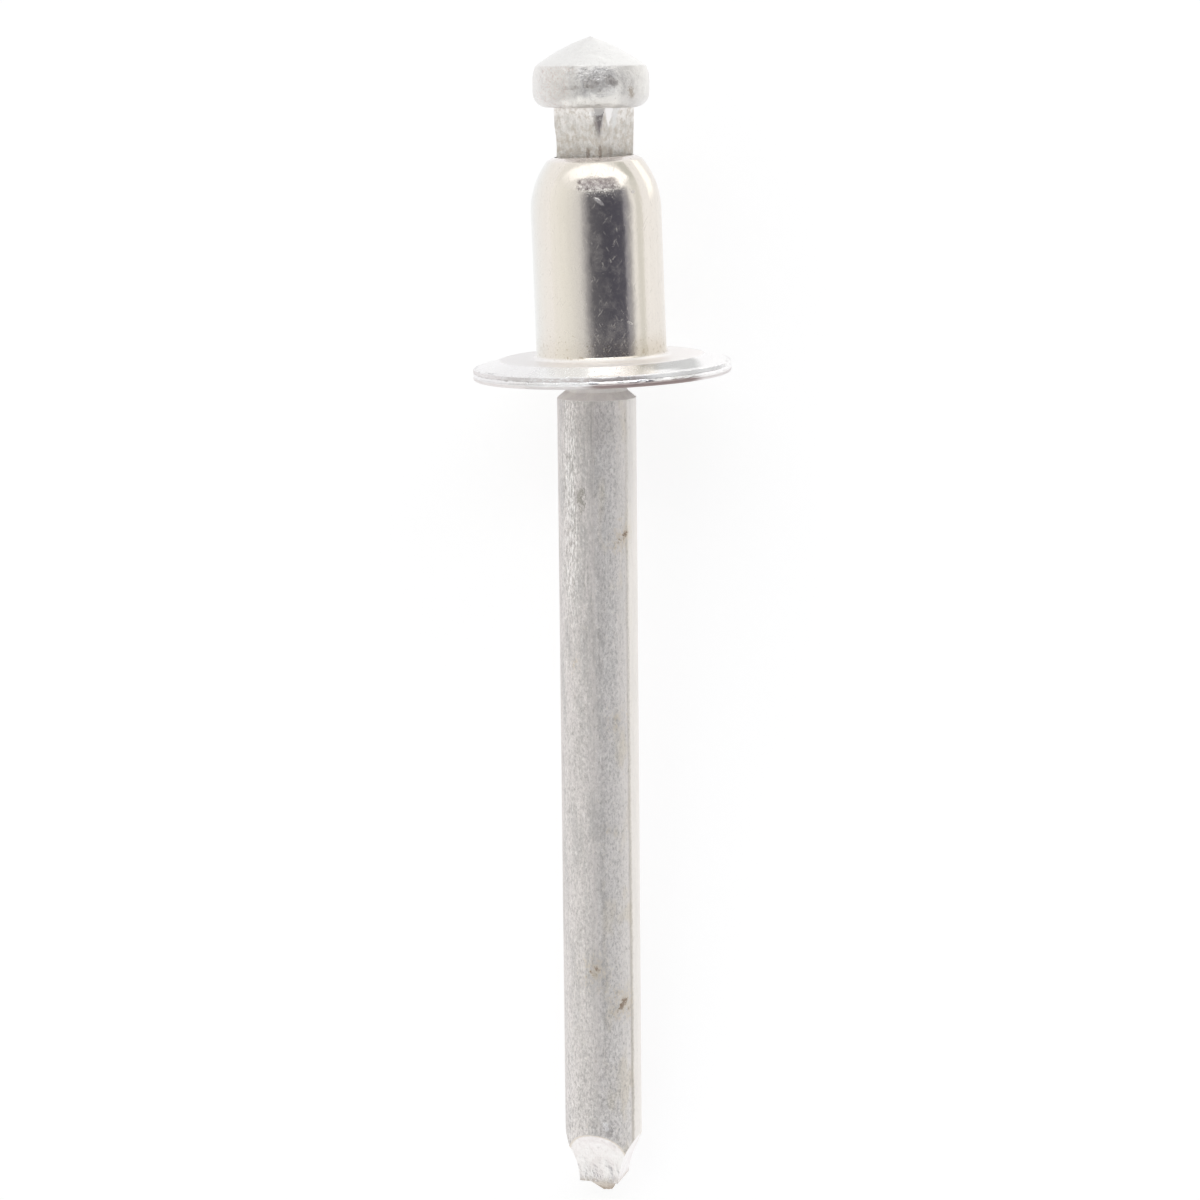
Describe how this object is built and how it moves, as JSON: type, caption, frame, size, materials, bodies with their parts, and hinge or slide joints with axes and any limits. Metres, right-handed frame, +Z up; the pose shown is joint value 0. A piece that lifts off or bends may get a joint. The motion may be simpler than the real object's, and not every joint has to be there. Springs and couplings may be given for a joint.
{
  "type": "blind rivet",
  "caption": "Unset blind rivet: a hollow shouldered body with a round flange, crimped around the neck of a headed pull mandrel with a nipped point.",
  "frame": {"origin": "middle of the flange's work face, on the axis of the rivet body", "axes": "+Z up from the surface the rivet lies on; the mandrel's head points to +X and up by the rest tilt, the stem runs to -X"},
  "size_m": [0.0434, 0.0094, 0.0095],
  "materials": {
    "bright_body": "bright plated steel, drawn and polished, with fine scuffs",
    "drawn_wire": "satin drawn wire with lengthwise streaks and small pits"
  },
  "bodies": {
    "root": {"rivet_body": "bright_body", "mandrel": "drawn_wire"}
  },
  "joints": []
}
